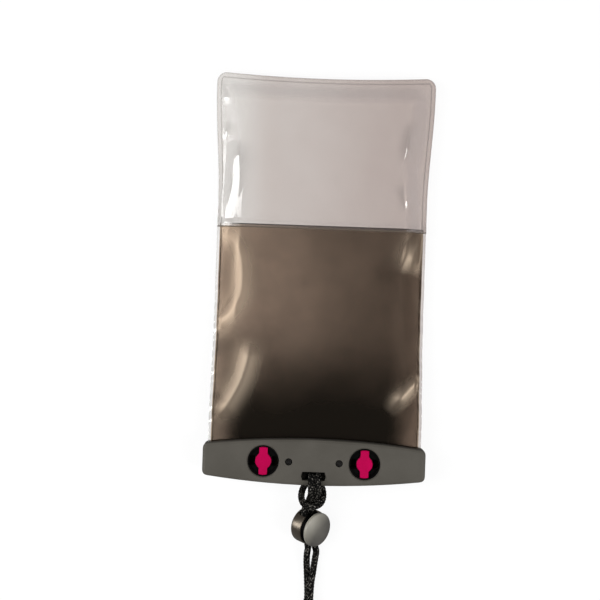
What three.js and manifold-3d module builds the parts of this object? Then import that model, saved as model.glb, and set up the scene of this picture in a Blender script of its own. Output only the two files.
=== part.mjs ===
import * as THREE from "three";
import { mergeVertices } from "three/addons/utils/BufferGeometryUtils.js";
import Module from "manifold-3d";

// Waterproof pouch with a two-part sealing clip and a neck lanyard, lying on its front side.
// Millimetres, +Z up, +X along the clip, +Y from the clip to the pouch's closed end.
// The origin is on the floor under the middle of the pouch and clip.
// Inside the pouch group, Y is measured from the middle of the clip.

const wasm = await Module();
wasm.setup();

// Clearances
const running_gap = 0.3;
const press_gap = 0.15;
const sheet_gap = 0.2;
const face_gap = 0.1;

// Clip
const clip_length = 103.4;
const clip_mid_height = 21.5;
const clip_end_height = 15.2;
const clip_thickness = 13.4;
const clip_corner_radius = 2.4;
const clip_edge_round = 1.4;
const clip_film_gap = 0.3;
const clip_end_wall = 1.4;

// Film
const film_thickness = 0.5;
const film_tail = 3.0;
const film_side_gap = 0.5;
const waist_inset = 0.6;
const end_flare = 1.7;
const panel_inset = 1.3;
const waist_start = 12;
const waist_end = 62;
const end_flare_start = 122;
const end_flare_finish = 174;
const pouch_reach = 181.1;
const end_dip = 1.6;
const end_dip_length = 30;
const end_corner_radius = 4.6;
const weld_width = 2.0;
const pouch_thickness = 11.6;
const side_ramp = 9.5;
const end_ramp = 10.0;
const mouth_ramp = 14.0;
const flange_drop_length = 72;
const lap_middle = 109.2;
const lap_width = 1.8;
const lap_fall = 2.6;
const row_pitch = 6.4;

// Seal between the clip halves
const seal_start = 4.6;
const seal_half_wave = 1.2;
const seal_half_waves = 3;
const seal_depth = 0.5;
const seal_rows_each = 2;

// Folds in the film
const rim_wave = 0.7;
const rim_wave_pitch = 20;
const rim_wave_width = 9;
const rim_wave_end = 95;
const rim_wave_rise = 8;
const rim_wave_fall = 15;
const rim_wave_shift = 1.3;
const crease_spread = 2.6;
// Each fold's points are shares of the film's half width and of the pouch's reach
const creases = [
  { height: 1.0, path: [[-0.767, 0.801], [-0.932, 0.613]] },
  { height: 0.7, path: [[-0.874, 0.878], [-0.932, 0.839]] },
  { height: 0.8, path: [[0.816, 0.883], [0.755, 0.795]] },
  { height: 0.7, path: [[0.730, 0.712], [0.790, 0.674]] },
  { height: 0.9, path: [[-0.736, 0.552], [-0.720, 0.420], [-0.911, 0.353]] },
  { height: 0.9, path: [[-0.625, 0.315], [-0.678, 0.221], [-0.831, 0.144]] },
  { height: 0.9, path: [[0.909, 0.591], [0.823, 0.541], [0.812, 0.425]] },
  { height: 0.8, path: [[0.926, 0.215], [0.744, 0.160]] },
];

// Quarter-turn locks
const lock_end_inset = 28.2;
const window_diameter = 14.6;
const window_depth = 4.2;
const window_chamfer = 0.5;
const seat_recess = 0.4;
const seat_wall = 0.55;
const tab_hub_diameter = 7.5;
const tab_wing_width = 3.9;
const tab_span = 12.9;
const tab_thickness = 1.5;
const tab_fillet = 0.7;
const tab_edge_round = 0.2;
const lever_shaft_diameter = 6.0;
const lever_length = 24.0;
const lever_width = 9.0;
const lever_thickness = 4.2;
const lever_edge_round = 0.9;
const lever_hub_margin = 1.0;
const lever_face_gap = 0.4;

// Locating pegs
const peg_lock_distance = 11.8;
const peg_diameter = 3.1;
const peg_depth = 4.2;
const peg_recess = 0.25;
const peg_dish = 0.3;

// Lanyard slot in the back half and the notch behind it in the front half
const slot_top = -4.3;
const slot_bottom = -8.3;
const slot_width = 11.6;
const slot_narrowing = 0.65;
const notch_width = 13.6;
const notch_floor = 2.8;

// Toggle
const toggle_diameter = 16.6;
const toggle_shell_wall = 0.8;
const toggle_shell_length = 6.6;
const toggle_shell_round = 1.2;
const toggle_sleeve_wall = 0.85;
const toggle_rim = 0.8;
const toggle_cap_thickness = 1.6;
const toggle_cap_edge = 0.5;
const toggle_floor = 0.6;
const toggle_stroke = 1.15;
const toggle_hole_width = 7.7;
const toggle_hole_height = 4.6;
const toggle_hole_round = 1.9;
const toggle_hole_start = 2.2;
const toggle_plate = 0.6;
const spring_wire = 0.4;
const spring_turns = 2.5;
const spring_wide = 5.2;
const spring_narrow = 3.6;
const toggle_tilt = 46;
const toggle_lean = 15;
const toggle_spin = 30;
const toggle_place = [-0.43, -31.0];

// Lanyard
const cord_diameter = 3.0;
const cord_pitch = 3.1;
const cord_end_gap = 0.3;
const coil_turns_across = 3;
const coil_layers = 2;
const coil_mean_radius = 16.5;
const coil_middle = [0, -94.5];

// Widths that follow from the sizes above
const mouth_half_width = clip_length / 2 - clip_end_wall - film_side_gap;
const waist_half_width = mouth_half_width - waist_inset;
const end_half_width = mouth_half_width + end_flare;
const lock_x = clip_length / 2 - lock_end_inset;
const peg_x = lock_x - peg_lock_distance;

// Heights that follow from the sizes above
const clip_bottom_z = lever_thickness + lever_face_gap;
const clip_mid_z = clip_bottom_z + clip_thickness / 2;
const clip_top_z = clip_bottom_z + clip_thickness;
const overall_length = pouch_reach + clip_mid_height / 2;
const clip_y = (clip_mid_height - overall_length) / 2;
const film_offset = sheet_gap / 2 + film_thickness / 2;
const cavity_offset = sheet_gap / 2 + film_thickness + clip_film_gap;
const seal_end = seal_start + seal_half_waves * seal_half_wave;
const seat_low_z = clip_top_z - window_depth;
const seat_high_z = clip_top_z - seat_recess;
const seat_radius = window_diameter / 2 - press_gap;
const seat_floor_z = seat_high_z - tab_thickness - face_gap;
const shaft_top_z = seat_floor_z + face_gap;
const lap_lift = film_thickness + running_gap + face_gap;
const beyond = 60;

const materials = {
  clear_film: { color: 0xd5d3d1, roughness: 0.15, transparent: true, opacity: 0.3 },
  smoke_film: { color: 0x3b2f25, roughness: 0.2, transparent: true, opacity: 0.7 },
  clip_plastic: { color: 0x59564f, roughness: 0.55 },
  black_plastic: { color: 0x141312, roughness: 0.45 },
  magenta_plastic: { color: 0xac0349, roughness: 0.4 },
  toggle_metal: { color: 0x5a544e, roughness: 0.22, metalness: 0.9 },
  toggle_plastic: { color: 0x454441, roughness: 0.5 },
  spring_steel: { color: 0xb0b2b4, roughness: 0.3, metalness: 1 },
  cord: { color: 0x2b2a28, roughness: 0.9 },
};
for (const [name, look] of Object.entries(materials)) {
  materials[name] = new THREE.MeshStandardMaterial(look);
}

// Number helpers
function smooth(share) {
  const clamped = Math.min(Math.max(share, 0), 1);
  return clamped * clamped * (3 - 2 * clamped);
}

function blend(from, to, share) {
  return from + (to - from) * smooth(share);
}

function steps(from, to, count) {
  return Array.from({ length: count + 1 }, (_, i) => from + ((to - from) * i) / count);
}

// Solid helpers: three.js makes every shape, manifold-3d joins and cuts them
function solid(geometry) {
  const plain = geometry.clone();
  plain.deleteAttribute("normal");
  plain.deleteAttribute("uv");
  const merged = mergeVertices(plain, 1e-4);
  const corners = [];
  const index = merged.index.array;
  for (let i = 0; i < index.length; i += 3) {
    const [a, b, c] = [index[i], index[i + 1], index[i + 2]];
    if (a !== b && b !== c && c !== a) corners.push(a, b, c);
  }
  const mesh = new wasm.Mesh({
    numProp: 3,
    vertProperties: new Float32Array(merged.attributes.position.array),
    triVerts: new Uint32Array(corners),
  });
  return new wasm.Manifold(mesh);
}

function geometryOf(body) {
  const mesh = body.getMesh();
  const geometry = new THREE.BufferGeometry();
  geometry.setAttribute("position", new THREE.BufferAttribute(mesh.vertProperties, 3));
  geometry.setIndex(new THREE.BufferAttribute(mesh.triVerts, 1));
  return geometry;
}

function extruded(shape, low, high, round = 0, curveSegments = 7) {
  const geometry = new THREE.ExtrudeGeometry(shape, {
    depth: high - low - 2 * round,
    bevelEnabled: round > 0,
    bevelThickness: round,
    bevelSize: round,
    bevelOffset: -round,
    bevelSegments: round > film_thickness ? 2 : 1,
    curveSegments,
  });
  return geometry.translate(0, 0, low + round);
}

// A shape drawn in Y and Z, extruded along X
function extrudedAcross(shape, left, right) {
  const geometry = extruded(shape, left, right);
  const turn = new THREE.Matrix4().makeBasis(
    new THREE.Vector3(0, 1, 0),
    new THREE.Vector3(0, 0, 1),
    new THREE.Vector3(1, 0, 0),
  );
  return geometry.applyMatrix4(turn);
}

// A round bar along Z, which can taper to another radius at its top
function round(radius, low, high, place = [0, 0], top = radius, sides = 32) {
  const geometry = new THREE.CylinderGeometry(top, radius, high - low, sides);
  geometry.rotateX(Math.PI / 2);
  return geometry.translate(place[0], place[1], (low + high) / 2);
}

function box(low, high) {
  const size = high.map((value, i) => value - low[i]);
  const geometry = new THREE.BoxGeometry(...size);
  return geometry.translate(...low.map((value, i) => value + size[i] / 2));
}

function roundedRectangle(left, low, right, high, radius) {
  const shape = new THREE.Shape();
  shape.absarc(right - radius, high - radius, radius, 0, Math.PI / 2);
  shape.absarc(left + radius, high - radius, radius, Math.PI / 2, Math.PI);
  shape.absarc(left + radius, low + radius, radius, Math.PI, 1.5 * Math.PI);
  shape.absarc(right - radius, low + radius, radius, 1.5 * Math.PI, 2 * Math.PI);
  return shape;
}

// The outline of the lock's tab: a hub with two wings along Y, grown by a clearance
function tabShape(clearance) {
  const hub = tab_hub_diameter / 2 + clearance;
  const half = tab_wing_width / 2 + clearance;
  const reach = tab_span / 2 + clearance;
  const tip = Math.asin(half / reach);
  const root = Math.asin(half / hub);
  const fillet_turn = tab_fillet / hub;
  const root_y = hub * Math.cos(root);
  const shape = new THREE.Shape();
  for (const turn of [0, Math.PI]) {
    const sign = turn === 0 ? 1 : -1;
    const up = turn + Math.PI / 2;
    shape.absarc(0, 0, reach, up - tip, up + tip);
    shape.lineTo(-sign * half, sign * (root_y + tab_fillet));
    const from = up + root + fillet_turn;
    const to = up + Math.PI - root - fillet_turn;
    shape.quadraticCurveTo(-sign * half, sign * root_y, hub * Math.cos(from), hub * Math.sin(from));
    shape.absarc(0, 0, hub, from, to);
    shape.quadraticCurveTo(-sign * half, -sign * root_y, -sign * half, -sign * (root_y + tab_fillet));
  }
  return shape;
}

// The tab's own outline a quarter turn on, which lets it through
function keyhole(x, low, high, clearance) {
  const geometry = extruded(tabShape(clearance), low, high, 0, 4);
  return geometry.rotateZ(Math.PI / 2).translate(x, 0, 0);
}

// Film: half width, height of the middle and fullness of the pouch along its length
function halfWidth(row) {
  const corner_start = pouch_reach - end_corner_radius;
  const toMouth = blend(waist_half_width, mouth_half_width, (waist_end - row) / (waist_end - waist_start));
  const along = (row - end_flare_start) / (end_flare_finish - end_flare_start);
  const straight = blend(toMouth, end_half_width, along);
  if (row <= corner_start) return straight;
  const rise = Math.min(row - corner_start, end_corner_radius);
  return straight - end_corner_radius + Math.sqrt(end_corner_radius ** 2 - rise ** 2);
}

function flangeHeight(row) {
  const mouth = clip_mid_height / 2;
  return blend(clip_mid_z, pouch_thickness / 2, (row - mouth) / flange_drop_length);
}

function fullness(x, row) {
  const side = smooth((halfWidth(row) - weld_width - Math.abs(x)) / side_ramp);
  const end = smooth((pouch_reach - weld_width - row) / end_ramp);
  const mouth = smooth((row - clip_mid_height / 2 - weld_width / 2) / mouth_ramp);
  return side * end * mouth;
}

function sealWave(row) {
  if (row < seal_start || row > seal_end) return 0;
  return seal_depth * Math.sin((Math.PI * (row - seal_start)) / seal_half_wave);
}

function rimWave(x, row) {
  const edge = smooth((Math.abs(x) - halfWidth(row) + rim_wave_width) / rim_wave_width);
  const rise = smooth((row - clip_mid_height / 2) / rim_wave_rise);
  const fall = smooth((rim_wave_end - row) / rim_wave_fall);
  const shift = x > 0 ? rim_wave_shift : 0;
  const wave = Math.sin((2 * Math.PI * row) / rim_wave_pitch + shift);
  return rim_wave * edge * rise * fall * wave;
}

const crease_lines = creases.map((crease) => {
  return crease.path.map(([across, along]) => {
    return new THREE.Vector3(across * end_half_width, along * pouch_reach, 0);
  });
});

function distanceToLine(x, y, points) {
  const point = new THREE.Vector3(x, y, 0);
  const nearest = new THREE.Vector3();
  let best = Infinity;
  for (let i = 1; i < points.length; i += 1) {
    new THREE.Line3(points[i - 1], points[i]).closestPointToPoint(point, true, nearest);
    best = Math.min(best, nearest.distanceTo(point));
  }
  return best;
}

function creaseHeight(x, row) {
  const inside = smooth((halfWidth(row) - weld_width - Math.abs(x)) / weld_width);
  return creases.reduce((total, crease, i) => {
    const away = distanceToLine(x, row, crease_lines[i]) / crease_spread;
    return total + inside * crease.height * Math.exp(-away * away);
  }, 0);
}

function frontSurface(x, row) {
  const flange = flangeHeight(row) + sealWave(row) + rimWave(x, row) - film_offset;
  return THREE.MathUtils.lerp(flange, film_thickness / 2, fullness(x, row));
}

function backSurface(x, row) {
  const flange = flangeHeight(row) + sealWave(row) + rimWave(x, row) + film_offset;
  const full = pouch_thickness - film_thickness / 2;
  return THREE.MathUtils.lerp(flange, full, fullness(x, row)) + creaseHeight(x, row);
}

function windowSurface(x, row) {
  const lift = 1 - smooth((row - lap_middle - lap_width / 2) / lap_fall);
  return backSurface(x, row) + lap_lift * lift;
}

// The rows and columns of the film's grid
function filmRows() {
  const lap_low = lap_middle - lap_width / 2;
  const lap_high = lap_middle + lap_width / 2;
  const mouth = clip_mid_height / 2 + weld_width / 2;
  const corner = pouch_reach - end_corner_radius;
  const weld = pouch_reach - weld_width;
  const lower = Math.round((lap_low - mouth) / row_pitch);
  const upper = Math.round((corner - lap_high - lap_fall) / row_pitch);
  const turns = steps(0, Math.PI / 2, 5).slice(1, -1);
  const corners = turns.map((turn) => corner + end_corner_radius * Math.sin(turn));
  return [
    -film_tail,
    ...steps(seal_start, seal_end, seal_half_waves * seal_rows_each),
    ...steps(mouth, lap_low, lower),
    lap_high,
    ...steps(lap_high + lap_fall, corner, upper),
    ...corners,
    weld,
    pouch_reach - 0.02,
  ].sort((a, b) => a - b);
}

const column_shares = [0.37, 0.68, 0.79, 0.87, 0.955, 1];
const columns = [...column_shares.map((share) => -share).reverse(), 0, ...column_shares];
const rows = filmRows();

// A closed sheet over some of the rows, half its thickness above and below a surface
function sheet(chosen, surface, inset = 0) {
  const positions = [];
  for (const side of [1, -1]) {
    for (const row of chosen) {
      const near_end = smooth((row - pouch_reach) / end_dip_length + 1);
      for (const share of columns) {
        const x = share * (halfWidth(row) - inset);
        const y = row - end_dip * (1 - share * share) * near_end;
        positions.push(x, y, surface(x, row) + (side * film_thickness) / 2);
      }
    }
  }
  const across = columns.length;
  const under = chosen.length * across;
  const index = [];
  const quad = (a, b, c, d) => index.push(a, b, c, a, c, d);
  const wall = (p, q) => quad(q, p, p + under, q + under);
  const last = chosen.length - 1;
  for (let r = 0; r < last; r += 1) {
    for (let c = 0; c < across - 1; c += 1) {
      const a = r * across + c;
      quad(a, a + 1, a + 1 + across, a + across);
      quad(a + under, a + across + under, a + 1 + across + under, a + 1 + under);
    }
    wall((r + 1) * across, r * across);
    wall(r * across + across - 1, (r + 1) * across + across - 1);
  }
  for (let c = 0; c < across - 1; c += 1) {
    wall(c, c + 1);
    wall(last * across + c + 1, last * across + c);
  }
  const geometry = new THREE.BufferGeometry();
  geometry.setAttribute("position", new THREE.Float32BufferAttribute(positions, 3));
  geometry.setIndex(index);
  return geometry;
}

const lock_places = { left: -lock_x, right: lock_x };
const peg_places = { left: -peg_x, right: peg_x };

// Holes in the sheets' mouth for the turning tabs and the pegs
function withClipHoles(body) {
  let cut = body;
  for (const x of Object.values(lock_places)) {
    cut = cut.subtract(solid(keyhole(x, clip_bottom_z, clip_top_z, 2 * running_gap)));
  }
  for (const x of Object.values(peg_places)) {
    const radius = peg_diameter / 2 + running_gap;
    cut = cut.subtract(solid(round(radius, clip_bottom_z, clip_top_z, [x, 0], radius, 16)));
  }
  return cut;
}

function frontFilm() {
  return geometryOf(withClipHoles(solid(sheet(rows, frontSurface))));
}

function backPanel() {
  const chosen = rows.filter((row) => row <= lap_middle + lap_width / 2 + 1e-6);
  return geometryOf(withClipHoles(solid(sheet(chosen, backSurface, panel_inset))));
}

function backWindow() {
  const chosen = rows.filter((row) => row >= lap_middle - lap_width / 2 - 1e-6);
  return sheet(chosen, windowSurface);
}

// Clip: an arched bar with rounded edges, split along the film
function clipShape() {
  const half = clip_length / 2;
  const end = clip_end_height / 2;
  const radius = clip_corner_radius;
  const crown = clip_mid_height - end;
  const slope = ((crown - end) / (half - radius)) * radius;
  const at = (x, y) => new THREE.Vector2(x, y);
  const points = [];
  for (const sign of [1, -1]) {
    const arch = new THREE.QuadraticBezierCurve(
      at(-sign * (half - radius), -sign * end),
      at(0, -sign * crown),
      at(sign * (half - radius), -sign * end),
    );
    const lower_corner = new THREE.QuadraticBezierCurve(
      at(sign * (half - radius), -sign * end),
      at(sign * half, -sign * (end - slope)),
      at(sign * half, -sign * (end - slope - radius)),
    );
    const upper_corner = new THREE.QuadraticBezierCurve(
      at(sign * half, sign * (end - slope - radius)),
      at(sign * half, sign * (end - slope)),
      at(sign * (half - radius), sign * end),
    );
    points.push(...arch.getPoints(14).slice(0, -1));
    points.push(...lower_corner.getPoints(4));
    points.push(...upper_corner.getPoints(4).slice(0, -1));
  }
  return new THREE.Shape(points);
}

// The room for the film and its seal waves, on one side of the clip's middle plane
function filmRoom(side) {
  const low = -film_tail - clip_film_gap;
  const high = clip_mid_height;
  const waves = steps(seal_start, seal_end, seal_half_waves * seal_rows_each);
  const stations = [low, ...waves, high];
  const wall = stations.map((y) => {
    return new THREE.Vector2(y, clip_mid_z + sealWave(y) + side * cavity_offset);
  });
  const far = clip_mid_z - side * clip_thickness / 4;
  const room = [new THREE.Vector2(high, far), new THREE.Vector2(low, far)];
  const reach = clip_length / 2 - clip_end_wall;
  return solid(extrudedAcross(new THREE.Shape([...wall, ...room]), -reach, reach));
}

function clipHalf(low, high) {
  const whole = extruded(clipShape(), clip_bottom_z, clip_top_z, clip_edge_round);
  const slab = box([-beyond, -beyond, low], [beyond, beyond, high]);
  return solid(whole).intersect(solid(slab));
}

function slotShape() {
  const wide = slot_width / 2;
  const narrow = wide - slot_narrowing;
  const middle = (slot_top + slot_bottom) / 2;
  const corners = [
    [-narrow, slot_bottom],
    [narrow, slot_bottom],
    [wide, middle],
    [narrow, slot_top],
    [-narrow, slot_top],
    [-wide, middle],
  ];
  return new THREE.Shape(corners.map((corner) => new THREE.Vector2(...corner)));
}

function clipBack() {
  let body = clipHalf(clip_mid_z + sheet_gap / 2, clip_top_z).subtract(filmRoom(1));
  for (const x of Object.values(lock_places)) {
    const radius = window_diameter / 2;
    const flare = radius + window_chamfer;
    const top = clip_top_z + face_gap;
    body = body
      .subtract(solid(round(radius, seat_low_z, top, [x, 0])))
      .subtract(solid(round(radius, clip_top_z - window_chamfer, top, [x, 0], flare + face_gap)))
      .subtract(solid(keyhole(x, clip_bottom_z, clip_top_z, running_gap)));
  }
  for (const x of Object.values(peg_places)) {
    const radius = peg_diameter / 2 + press_gap;
    body = body.subtract(solid(round(radius, clip_bottom_z, clip_top_z + 1, [x, 0], radius, 16)));
  }
  body = body.subtract(solid(extruded(slotShape(), clip_bottom_z, clip_top_z + 1)));
  return geometryOf(body);
}

function clipFront() {
  let body = clipHalf(clip_bottom_z, clip_mid_z - sheet_gap / 2).subtract(filmRoom(-1));
  for (const x of Object.values(lock_places)) {
    const radius = lever_shaft_diameter / 2 + press_gap;
    body = body.subtract(solid(round(radius, 0, clip_top_z, [x, 0])));
  }
  for (const x of Object.values(peg_places)) {
    const radius = peg_diameter / 2 + press_gap;
    const low = clip_mid_z - cavity_offset - peg_depth;
    body = body.subtract(solid(round(radius, low, clip_top_z, [x, 0], radius, 16)));
  }
  const notch_low = [-notch_width / 2, -clip_mid_height, clip_bottom_z + notch_floor];
  const notch_high = [notch_width / 2, slot_top, clip_top_z];
  return geometryOf(body.subtract(solid(box(notch_low, notch_high))));
}

// Locks: a seat pressed in each window, and a lever whose shaft carries the tab
function lockSeat() {
  const recess_radius = seat_radius - seat_wall;
  const cup = solid(round(seat_radius, seat_low_z, seat_high_z))
    .subtract(solid(round(recess_radius, seat_floor_z, seat_high_z + 1)))
    .subtract(solid(keyhole(0, seat_low_z - 1, seat_high_z, running_gap)));
  return geometryOf(cup);
}

function lockTab() {
  return extruded(tabShape(0), shaft_top_z, shaft_top_z + tab_thickness, tab_edge_round, 4);
}

function lever(side) {
  const half = lever_width / 2;
  const hub = half + lever_hub_margin;
  const lean = Math.asin((hub - half) / (lever_length - half));
  const shape = new THREE.Shape();
  shape.absarc(0, 0, hub, Math.PI / 2 - lean, 1.5 * Math.PI + lean);
  shape.absarc(lever_length - half, 0, half, -Math.PI / 2 + lean, Math.PI / 2 - lean);
  const paddle = extruded(shape, 0, lever_thickness, lever_edge_round);
  const shaft = round(lever_shaft_diameter / 2, lever_thickness / 2, shaft_top_z);
  const body = solid(paddle).add(solid(shaft));
  const geometry = geometryOf(body);
  return side > 0 ? geometry : geometry.rotateZ(Math.PI);
}

function peg() {
  const radius = peg_diameter / 2;
  const low = clip_mid_z - cavity_offset - peg_depth;
  const high = clip_top_z - peg_recess;
  const dish = peg_dish;
  const profile = [
    [0, low],
    [radius - dish, low],
    [radius, low + dish],
    [radius, high - dish],
    [radius - dish, high],
    [radius - 2 * dish, high],
    [radius - 3 * dish, high - dish],
    [0, high - dish],
  ];
  const points = profile.map((corner) => new THREE.Vector2(...corner));
  return new THREE.LatheGeometry(points, 16).rotateX(Math.PI / 2);
}

// Toggle, along its own axis: s runs from the closed back of the shell to the cap's face
const toggle_radius = toggle_diameter / 2;
const hole_end = toggle_hole_start + toggle_hole_height;
const sleeve_outer = toggle_radius - toggle_shell_wall - press_gap;
const sleeve_inner = sleeve_outer - toggle_sleeve_wall;
const sleeve_low = toggle_floor + press_gap;
const sleeve_high = hole_end + toggle_rim;
const plunger_radius = sleeve_inner - running_gap;
const plunger_hole_start = toggle_hole_start + toggle_stroke / 2;
const plunger_low = plunger_hole_start - toggle_plate;
const cap_low = sleeve_high + toggle_stroke + face_gap;
const toggle_length = cap_low + toggle_cap_thickness;
const toggle_cord_s = toggle_hole_start + toggle_hole_height / 2;
const cord_side_step = (cord_diameter + press_gap + running_gap) / 2;

// A hole across the toggle for the two cords, along Y
function cordHole(start, end, open_end) {
  const half = toggle_hole_width / 2;
  const high = open_end ? end + toggle_hole_round : end;
  const shape = roundedRectangle(-half, start, half, high, toggle_hole_round);
  const geometry = extruded(shape, -beyond, beyond, 0, 3);
  return solid(geometry.rotateX(Math.PI / 2));
}

function toggleShell() {
  const edge = toggle_shell_round;
  const inner = toggle_radius - toggle_shell_wall;
  const shoulder = steps(0, Math.PI / 2, 4).map((turn) => [
    toggle_radius - edge + edge * Math.sin(turn),
    edge - edge * Math.cos(turn),
  ]);
  const profile = [
    [0, 0],
    ...shoulder,
    [toggle_radius, toggle_shell_length],
    [inner, toggle_shell_length],
    [inner, toggle_floor],
    [0, toggle_floor],
  ];
  const points = profile.map((corner) => new THREE.Vector2(...corner));
  const cup = new THREE.LatheGeometry(points, 32).rotateX(Math.PI / 2);
  const notch = cordHole(toggle_hole_start, toggle_length, true);
  return geometryOf(solid(cup).subtract(notch));
}

function toggleSleeve() {
  const tube = solid(round(sleeve_outer, sleeve_low, sleeve_high))
    .subtract(solid(round(sleeve_inner, 0, toggle_length)))
    .subtract(cordHole(toggle_hole_start, hole_end, false));
  return geometryOf(tube);
}

function toggleButton() {
  const edge = toggle_cap_edge;
  const cap_radius = toggle_radius - press_gap;
  const profile = [
    [0, plunger_low],
    [plunger_radius, plunger_low],
    [plunger_radius, cap_low],
    [cap_radius - edge / 2, cap_low],
    [cap_radius, cap_low + edge / 2],
    [cap_radius, toggle_length - edge],
    [cap_radius - edge / 3, toggle_length - edge / 3],
    [cap_radius - edge, toggle_length],
    [0, toggle_length],
  ];
  const points = profile.map((corner) => new THREE.Vector2(...corner));
  const whole = new THREE.LatheGeometry(points, 32).rotateX(Math.PI / 2);
  const hole = cordHole(plunger_hole_start, plunger_hole_start + toggle_hole_height, false);
  return geometryOf(solid(whole).subtract(hole));
}

// A conical spring, which flattens to one wire's thickness
class ConicalSpring extends THREE.Curve {
  getPoint(share, target = new THREE.Vector3()) {
    const turn = share * spring_turns * 2 * Math.PI;
    const radius = spring_wide + (spring_narrow - spring_wide) * share;
    const low = toggle_floor + face_gap + spring_wire / 2;
    const high = plunger_low - face_gap - spring_wire / 2;
    return target.set(radius * Math.cos(turn), radius * Math.sin(turn), low + (high - low) * share);
  }
}

function circleShape(radius, sides) {
  const corners = steps(0, 2 * Math.PI, sides).slice(0, -1);
  return new THREE.Shape(corners.map((turn) => {
    return new THREE.Vector2(radius * Math.cos(turn), radius * Math.sin(turn));
  }));
}

function tube(curve, diameter, count, sides = 8) {
  return new THREE.ExtrudeGeometry(circleShape(diameter / 2, sides), {
    steps: count,
    bevelEnabled: false,
    extrudePath: curve,
  });
}

function toggleSpring() {
  return tube(new ConicalSpring(), spring_wire, 32, 5);
}

// The scene: the pouch group holds every piece, and the toggle lies tilted in groups of its own
const root = new THREE.Group();
const pouch = new THREE.Group();
pouch.position.y = clip_y;
root.add(pouch);

// The toggle rests on its shell's rounded edge, held at a slant by the cords
const tilt = THREE.MathUtils.degToRad(toggle_tilt);
const toggle_z = toggle_shell_round
  + (toggle_radius - toggle_shell_round) * Math.sin(tilt)
  + (toggle_length / 2 - toggle_shell_round) * Math.cos(tilt);
const toggle_group = new THREE.Group();
const toggle_tilting = new THREE.Group();
const toggle_spinning = new THREE.Group();
toggle_group.position.set(...toggle_place, toggle_z);
toggle_group.rotation.z = -THREE.MathUtils.degToRad(toggle_lean);
toggle_tilting.rotation.y = tilt;
toggle_spinning.rotation.z = THREE.MathUtils.degToRad(toggle_spin);
toggle_group.add(toggle_tilting);
toggle_tilting.add(toggle_spinning);
pouch.add(toggle_group);
pouch.updateMatrixWorld(true);

// Lanyard: the cords run side by side through the toggle, up and hitched round the slot's bar
function inToggle(side, along) {
  const point = new THREE.Vector3(side * cord_side_step, along, toggle_cord_s - toggle_length / 2);
  return pouch.worldToLocal(toggle_spinning.localToWorld(point));
}

const toggle_exit = toggle_radius + cord_diameter / 2 - sheet_gap;

function hitchPath() {
  const left = [
    [-2.4, -20.0, 13.1],
    [-1.7, -17.5, 14.4],
    [-1.2, -14.8, 17.6],
    [-1.15, -12.2, 19.8],
    [-1.15, -10.2, 20.1],
    [-1.15, -8.4, 20.0],
    [-1.15, -7.0, 19.3],
    [-1.15, -6.35, 17.4],
    [-1.15, -6.3, 13.2],
    [-1.3, -6.45, 11.2],
    [-1.7, -7.3, 9.9],
    [-2.3, -8.7, 9.5],
    [-3.3, -10.8, 9.5],
    [-4.6, -13.2, 10.1],
    [-5.2, -15.6, 12.2],
    [-5.0, -17.5, 14.7],
    [-4.1, -19.1, 16.5],
    [-2.4, -20.0, 17.4],
  ];
  const middle = [[-0.1, -20.3, 17.6]];
  const right = [
    [2.2, -19.9, 17.0],
    [3.9, -18.7, 15.8],
    [4.8, -16.8, 13.6],
    [4.9, -14.6, 11.3],
    [4.3, -12.4, 9.9],
    [3.4, -10.4, 9.5],
    [2.9, -8.7, 9.5],
    [2.65, -7.3, 9.9],
    [2.55, -6.45, 11.2],
    [2.55, -6.3, 13.2],
    [2.55, -6.35, 17.4],
    [2.55, -7.0, 19.3],
    [2.55, -8.4, 20.0],
    [2.55, -10.2, 20.1],
    [2.5, -12.4, 19.4],
    [2.1, -15.2, 16.4],
    [1.2, -18.2, 13.4],
    [0.2, -20.0, 12.2],
  ];
  const points = [...left, ...middle, ...right].map((point) => new THREE.Vector3(...point));
  points.unshift(inToggle(-1, -toggle_exit), inToggle(-1, 0), inToggle(-1, toggle_exit));
  points.push(inToggle(1, toggle_exit), inToggle(1, 0), inToggle(1, -toggle_exit));
  return new THREE.CatmullRomCurve3(points, false, "centripetal");
}

function strandPath(side, list) {
  const start = -toggle_exit - cord_end_gap;
  const points = list.map((point) => new THREE.Vector3(...point));
  points.unshift(inToggle(side, start), inToggle(side, start - cord_diameter / 3));
  return new THREE.CatmullRomCurve3(points, false, "centripetal");
}

const left_route = [
  [-1.55, -44.2, 5.3],
  [-1.6, -48.6, 3.6],
  [-1.3, -53.0, 2.4],
  [-0.95, -58.5, 1.7],
  [-0.7, -63.0, 1.56],
  [-0.8, -66.8, 1.56],
  [-2.1, -69.9, 1.56],
  [-5.0, -72.3, 1.56],
];
const right_route = [
  [2.3, -43.2, 3.6],
  [1.9, -46.4, 3.2],
  [1.6, -49.4, 3.35],
  [1.3, -53.0, 4.25],
  [0.9, -58.0, 4.6],
  [0.65, -63.0, 4.7],
  [0.75, -67.2, 4.7],
  [2.1, -69.9, 4.7],
  [5.0, -72.3, 4.7],
];

function lanyardCoil() {
  const half = (coil_turns_across * cord_pitch) / 2;
  const high = coil_layers * cord_pitch;
  const edge = cord_diameter / 3;
  const outline = roundedRectangle(
    coil_mean_radius - half, 0, coil_mean_radius + half, high, edge,
  ).getPoints(1);
  const profile = [...outline, outline[0].clone()].filter((point, i, list) => {
    return i === 0 || point.distanceTo(list[i - 1]) > 1e-6;
  });
  const ring = new THREE.LatheGeometry(profile, 28).rotateX(Math.PI / 2);
  return ring.translate(...coil_middle, 0);
}

function place(name, geometry, material, group = pouch, x = 0) {
  const mesh = new THREE.Mesh(geometry, materials[material]);
  mesh.name = name;
  mesh.position.x = x;
  group.add(mesh);
  return mesh;
}

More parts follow.
